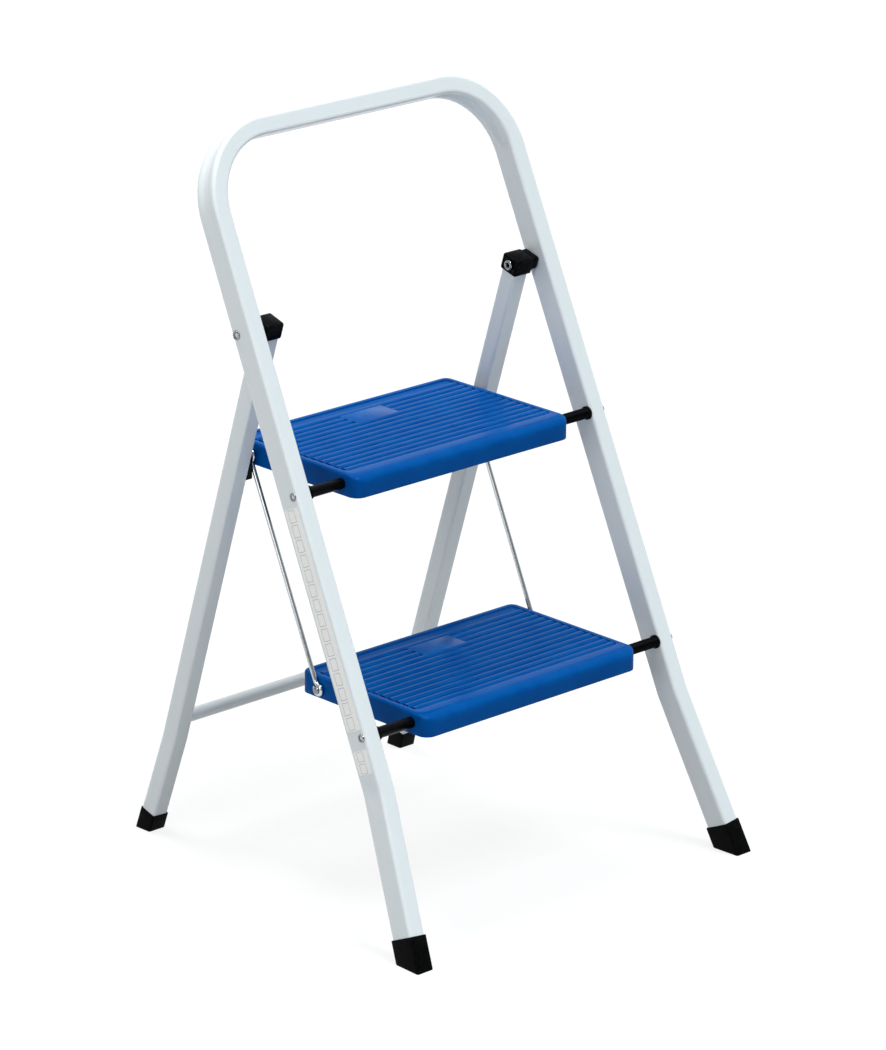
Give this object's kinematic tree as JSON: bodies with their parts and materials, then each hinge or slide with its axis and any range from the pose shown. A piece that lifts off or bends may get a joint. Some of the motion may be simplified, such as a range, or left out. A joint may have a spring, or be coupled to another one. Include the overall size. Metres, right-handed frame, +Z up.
{
  "type": "step stool",
  "caption": "Folding step stool with flat ribbed treads, a tall bent-tube handrail front frame, hinged rear legs and wire links that fold the treads together.",
  "frame": {"origin": "on the floor, midway between the outermost front and rear feet and between left and right", "axes": "+X to the stool's right as seen from in front, +Y from the front feet to the rear feet, +Z up; the stool stands open"},
  "size_m": [0.4904, 0.5018, 0.8062],
  "materials": {
    "frame_coat": "pale grey powder coat, satin",
    "blue_plastic": "glossy moulded plastic",
    "black_plastic": "black moulded plastic, semi-matt",
    "foot_rubber": "black rubber",
    "zinc_steel": "bright zinc-plated steel",
    "rivet_steel": "plain steel",
    "label_film": "blank self-adhesive film"
  },
  "bodies": {
    "front_frame": {"front_frame_tube": "frame_coat", "front_foot_left": "foot_rubber", "front_foot_right": "foot_rubber", "upper_pivot_rod": "rivet_steel", "lower_pivot_rod": "rivet_steel", "upper_rod_spacer_left": "black_plastic", "upper_rod_spacer_right": "black_plastic", "lower_rod_spacer_left": "black_plastic", "lower_rod_spacer_right": "black_plastic", "hinge_rivet_left": "rivet_steel", "hinge_rivet_right": "rivet_steel", "upper_leg_label": "label_film", "lower_leg_label": "label_film"},
    "rear_frame": {"rear_leg_left": "frame_coat", "rear_leg_right": "frame_coat", "rear_crossbar": "frame_coat", "hinge_block_left": "black_plastic", "hinge_block_right": "black_plastic", "rear_foot_left": "foot_rubber", "rear_foot_right": "foot_rubber", "step_hook_left": "black_plastic", "step_hook_right": "black_plastic", "hook_rivets": "rivet_steel"},
    "upper_step": {"upper_tread": "blue_plastic", "rear_step_rod": "zinc_steel"},
    "lower_step": {"lower_tread": "blue_plastic", "lower_link_rivets": "zinc_steel"},
    "left_link": {"left_link_wire": "zinc_steel"},
    "right_link": {"right_link_wire": "zinc_steel"}
  },
  "joints": [
    {"name": "rear_frame_fold", "type": "hinge", "parent": "front_frame", "child": "rear_frame", "pos_m": [0, 0.0512, 0.60516], "axis": [-1, 0, 0], "range_deg": [0, 41]},
    {"name": "upper_step_fold", "type": "hinge", "parent": "front_frame", "child": "upper_step", "pos_m": [0, -0.036, 0.45312], "axis": [1, 0, 0], "range_deg": [0, 61.1]},
    {"name": "lower_step_fold", "type": "hinge", "parent": "front_frame", "child": "lower_step", "pos_m": [0, -0.14182, 0.22093], "axis": [1, 0, 0], "range_deg": [0, 61.1]},
    {"name": "left_link_pivot", "type": "hinge", "parent": "upper_step", "child": "left_link", "pos_m": [-0.157, 0.1035, 0.45062], "axis": [1, 0, 0], "range_deg": [-61.1, 0]},
    {"name": "right_link_pivot", "type": "hinge", "parent": "upper_step", "child": "right_link", "pos_m": [0.157, 0.1035, 0.45062], "axis": [1, 0, 0], "range_deg": [-61.1, 0]}
  ],
  "couplings": [
    {"joint": "upper_step_fold", "follows": "rear_frame_fold", "ratio": 1.49},
    {"joint": "lower_step_fold", "follows": "rear_frame_fold", "ratio": 1.49},
    {"joint": "left_link_pivot", "follows": "rear_frame_fold", "ratio": -1.49},
    {"joint": "right_link_pivot", "follows": "rear_frame_fold", "ratio": -1.49}
  ]
}
